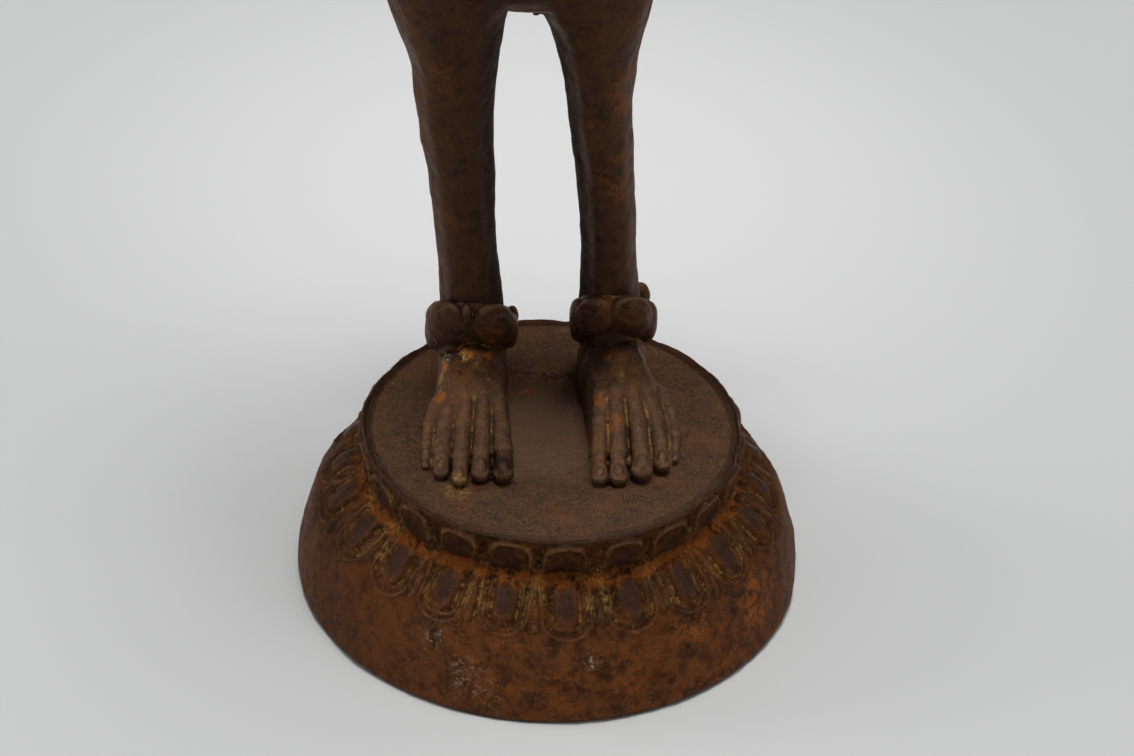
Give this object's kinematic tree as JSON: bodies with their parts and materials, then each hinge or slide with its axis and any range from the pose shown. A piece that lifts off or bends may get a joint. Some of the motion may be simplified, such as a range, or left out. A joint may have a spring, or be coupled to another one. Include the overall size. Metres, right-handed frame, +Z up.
{
  "type": "kinnari figure",
  "caption": "Cast bronze half-bird woman standing on a round double-lotus plinth, palms together, with lowered wings, an upswept tail and heavy anklets.",
  "frame": {"origin": "centre of the plinth's flat underside", "axes": "+Z up through the figure, -Y is the way the figure faces, +X is the figure's left"},
  "size_m": [0.131, 0.1277, 0.34],
  "materials": {
    "bronze": "old cast bronze, near-black to red-brown patina with rust-orange and ochre deposits in the recesses"
  },
  "bodies": {
    "root": {"kinnari_on_lotus_plinth": "bronze"}
  },
  "joints": []
}
